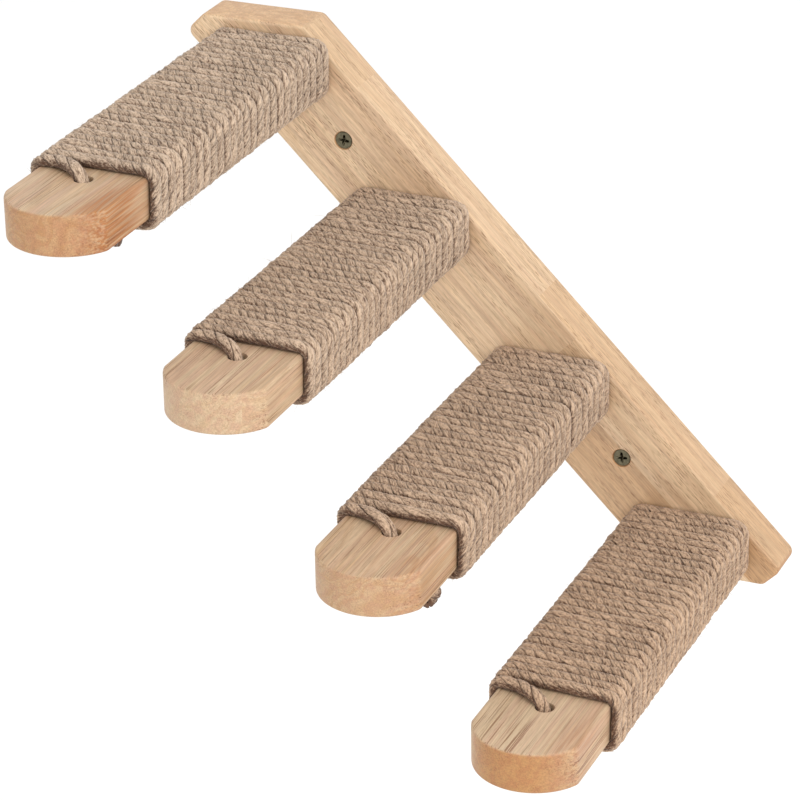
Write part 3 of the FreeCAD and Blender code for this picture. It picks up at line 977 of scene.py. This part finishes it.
def screw_shape(sizes):
    """Countersunk wood screw along +Y: turned head and shank, helical thread, cross recess.

    The thread's radius is the core plus a sharp ridge where the distance along the screw, less
    the turn round it, is half a pitch past a whole number of pitches.
    """
    head = sizes.screw_head / 2
    crest = sizes.screw_thread / 2
    point = sizes.screw_length
    shank = 1.4 * MM
    core = 1.3 * MM
    start = 22 * MM
    sides = 48
    profile = [
        (head - 0.25 * MM, 0.0), (head - 0.07 * MM, 0.05 * MM), (head - 0.02 * MM, 0.14 * MM),
        (head - 0.22 * MM, 0.42 * MM), (shank + 0.25 * MM, head - shank - 0.2 * MM),
        (shank, head - shank + 0.25 * MM), (shank, start),
    ]
    depth = np.arange(start + 0.1 * MM, point - 0.1 * MM, 0.15 * MM)[:, None]
    phase = (depth / sizes.screw_pitch - np.arange(sides) / sides) % 1
    ridge = np.clip(1 - np.abs(phase - 0.5) / 0.2, 0, 1)
    taper = np.clip((point - depth) / (6 * MM), 0, 1)
    fade = np.clip((depth - start) / (3 * MM), 0, 1)
    radius = core * taper**0.8 + (crest - core) * ridge * fade * taper**0.5 + 0.05 * MM
    shape = Shape()
    turned = shape.add_grid(lathe([*profile, *zip(radius, depth[:, 0])], circle(sides)))
    shape.add_face(turned[-1, ::-1])

    # Cross recess: four arms with round ends, narrower towards the floor, and a pointed floor
    reach = 2.6 * MM
    arm = 0.62 * MM
    quarter = [(arm, -arm * 1.15), (reach * 0.55, -arm * 1.05), (reach * 0.9, -arm * 0.8)]
    quarter += [(reach, 0.0), (reach * 0.9, arm * 0.8), (reach * 0.55, arm * 1.05)]
    cross = []
    for along, across in circle(4):
        cross.append(np.array(quarter) @ np.array([(along, across), (-across, along)]))
    cross = np.concatenate(cross)
    levels = [(1.04, 0.0), (1.0, 0.12 * MM), (0.72, 1.2 * MM), (0.42, 1.75 * MM), (0.03, 2.1 * MM)]
    recess = shape.add_grid(lathe(levels, cross))
    shape.add_face(recess[-1])
    shape.add_flat(turned[0], recess[0])
    return shape


def build_screws(sizes):
    """All ten screws, each one turned about its own axis by an odd angle."""
    turns = {"wall_screw_upper": 8, "wall_screw_lower": -4}
    for index, node in enumerate(SCREW_NODES):
        shape = screw_shape(sizes)
        head, way = screw_place(node)
        turn = math.radians(turns.get(node, index * 37))
        matrix = Matrix.Rotation(0 if way > 0 else math.pi, 3, "Z") @ Matrix.Rotation(turn, 3, "Y")
        shape.points = [points @ np.array(matrix).T + head for points in shape.points]
        piece = shape.piece(node + "_steel", MATERIALS["steel"], "screw_steel", [node], crease=28)
        turn_outward(piece)


# Stage


def build_stage():
    """Floor, soft lights and the camera at the photograph's viewing angle."""
    scene = bpy.context.scene
    mesh = bpy.data.meshes.new("floor")
    reach = 12.0
    level = CAD_BOX[0][2] - 0.35
    corners = [(-reach, -reach, level), (reach, -reach, level), (reach, reach, level), (-reach, reach, level)]
    mesh.from_pydata(corners, [], [(0, 1, 2, 3)])
    mesh.materials.append(painted_floor("matt_white_floor"))
    floor = add_object("floor", mesh)

    world = bpy.data.worlds.new("soft_studio")
    world.use_nodes = True
    background = world.node_tree.nodes["Background"].inputs
    background["Color"].default_value = (1, 1, 1, 1)
    background["Strength"].default_value = 0.95
    scene.world = world
    for name, place, size, power in (
        ("key_light", (2.3, -1.44, 1.7), 1.8, 50.0),
        ("front_light", (-0.6, -2.9, 0.7), 1.8, 6.0),
    ):
        light = bpy.data.lights.new(name, "AREA")
        light.size = size
        light.energy = power
        lamp = add_object(name, light)
        lamp.location = place
        lamp.rotation_euler = (-Vector(place)).to_track_quat("-Z", "Y").to_euler()

    # Camera fitted to the photograph: it looks from the right, and from above
    azimuth, elevation, roll = (math.radians(angle) for angle in (23.77, 25.06, -0.93))
    matrix = Matrix.Translation((0.5510, -1.3669, 0.6304))
    for angle, axis in ((azimuth, "Z"), (math.pi / 2 - elevation, "X"), (roll, "Z")):
        matrix = matrix @ Matrix.Rotation(angle, 4, axis)
    camera_data = bpy.data.cameras.new("camera")
    camera_data.sensor_width = 36.0
    camera_data.sensor_fit = "HORIZONTAL"
    camera_data.lens = 158.8
    camera_data.clip_start = 0.05
    camera_data.clip_end = 60.0
    camera = add_object("camera", camera_data)
    camera.matrix_world = matrix
    scene.camera = camera
    scene.view_settings.view_transform = "Standard"


# Add-on

MATERIALS = {}


class LADDER_OT_stage(bpy.types.Operator):
    """Set the floor, the lights and the camera"""

    bl_idname = "ladder.stage"
    bl_label = "Stage"

    def execute(self, context):
        build_stage()
        return {"FINISHED"}


class LADDER_OT_board(bpy.types.Operator):
    """Build the slanted backboard"""

    bl_idname = "ladder.board"
    bl_label = "Backboard"

    def execute(self, context):
        build_board(context.scene.ladder_sizes)
        return {"FINISHED"}


class LADDER_OT_steps(bpy.types.Operator):
    """Build the four step planks"""

    bl_idname = "ladder.steps"
    bl_label = "Steps"

    def execute(self, context):
        for number in range(STEP_COUNT):
            build_step(context.scene.ladder_sizes, number)
        return {"FINISHED"}


class LADDER_OT_ropes(bpy.types.Operator):
    """Wind a rope round each step, with its loose fibres"""

    bl_idname = "ladder.ropes"
    bl_label = "Ropes"

    def execute(self, context):
        MATERIALS["jute"] = jute("jute_rope")
        MATERIALS["loose jute"] = loose_jute("loose_jute_fibres")
        for number in range(STEP_COUNT):
            long = build_rope(context.scene.ladder_sizes, number)
            print("rope %d is %.0f mm long" % (number + 1, long / MM))
        return {"FINISHED"}


class LADDER_OT_screws(bpy.types.Operator):
    """Build the wood screws"""

    bl_idname = "ladder.screws"
    bl_label = "Screws"

    def execute(self, context):
        MATERIALS["steel"] = screw_steel("yellow_zinc_steel")
        build_screws(context.scene.ladder_sizes)
        return {"FINISHED"}


OPERATORS = (LADDER_OT_stage, LADDER_OT_board, LADDER_OT_steps, LADDER_OT_ropes, LADDER_OT_screws)


class LADDER_PT_panel(bpy.types.Panel):
    """Lists the ladder's pieces"""

    bl_idname = "LADDER_PT_panel"
    bl_label = "Cat wall ladder"
    bl_space_type = "VIEW_3D"
    bl_region_type = "UI"
    bl_category = "Ladder"

    def draw(self, context):
        for operator in OPERATORS:
            self.layout.operator(operator.bl_idname)
        for group in (context.scene.ladder_sizes, context.scene.ladder_colours):
            box = self.layout.box()
            for key in group.__annotations__:
                box.prop(group, key)


CLASSES = (LadderSizes, LadderColours, *OPERATORS, LADDER_PT_panel)


def register():
    """Registers the classes and puts the settings on the scene."""
    for cls in CLASSES:
        bpy.utils.register_class(cls)
    bpy.types.Scene.ladder_sizes = PointerProperty(type=LadderSizes)
    bpy.types.Scene.ladder_colours = PointerProperty(type=LadderColours)


def unregister():
    """Takes the settings off the scene and unregisters the classes."""
    del bpy.types.Scene.ladder_colours
    del bpy.types.Scene.ladder_sizes
    for cls in reversed(CLASSES):
        bpy.utils.unregister_class(cls)


def main():
    register()
    bpy.ops.ladder.stage()
    bpy.ops.ladder.board()
    bpy.ops.ladder.steps()
    bpy.ops.ladder.ropes()
    bpy.ops.ladder.screws()


if __name__ == "__main__":
    main()
